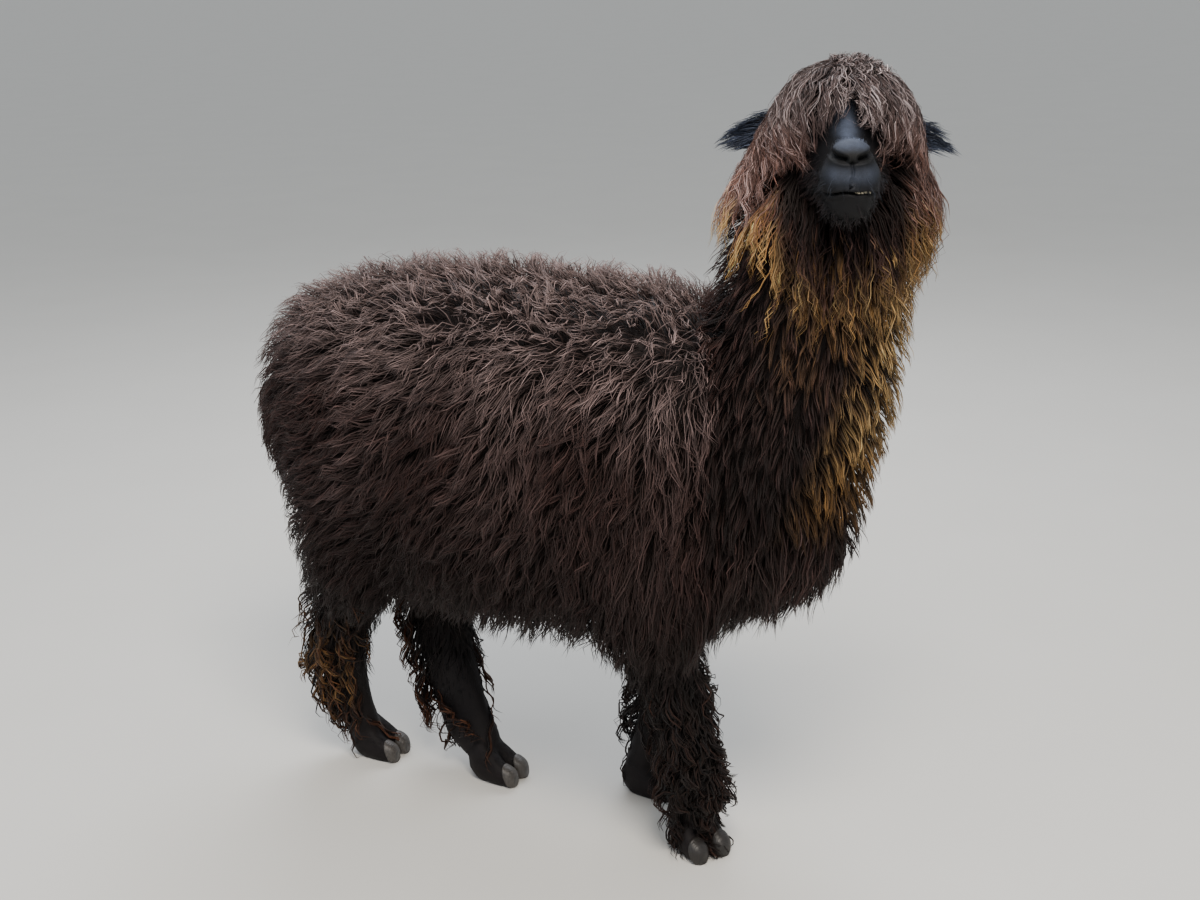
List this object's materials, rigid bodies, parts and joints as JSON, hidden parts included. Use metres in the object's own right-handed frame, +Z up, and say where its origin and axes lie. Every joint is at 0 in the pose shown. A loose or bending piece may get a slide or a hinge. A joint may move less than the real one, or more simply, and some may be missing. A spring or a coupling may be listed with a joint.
{
  "type": "alpaca",
  "caption": "Life-size standing alpaca in long dark brown fleece, head turned to its right, with a heavy topknot over the eyes, woolled legs and two-toed feet.",
  "frame": {"origin": "on the floor, under the middle of the animal's box", "axes": "+Z up, -Y the way the chest faces, -X the animal's right side"},
  "size_m": [0.5318, 1.3793, 1.3916],
  "materials": {
    "fleece": "long dark brown fleece",
    "short_hair": "short black hair on face, ears and feet",
    "nail": "grey horn, worn",
    "eye": "wet and dark"
  },
  "bodies": {
    "root": {"head": "fleece", "lower_jaw": "short_hair", "ear_left": "short_hair", "ear_right": "short_hair", "eye_left": "eye", "eye_right": "eye", "neck": "fleece", "trunk": "fleece", "tail": "fleece", "fore_right_upper_leg": "fleece", "fore_right_lower_leg": "fleece", "fore_right_foot": "short_hair", "fore_right_nail_left": "nail", "fore_right_nail_right": "nail", "fore_left_upper_leg": "fleece", "fore_left_lower_leg": "fleece", "fore_left_foot": "short_hair", "fore_left_nail_left": "nail", "fore_left_nail_right": "nail", "hind_right_upper_leg": "fleece", "hind_right_lower_leg": "fleece", "hind_right_foot": "short_hair", "hind_right_nail_left": "nail", "hind_right_nail_right": "nail", "hind_left_upper_leg": "fleece", "hind_left_lower_leg": "fleece", "hind_left_foot": "short_hair", "hind_left_nail_left": "nail", "hind_left_nail_right": "nail"}
  },
  "joints": []
}
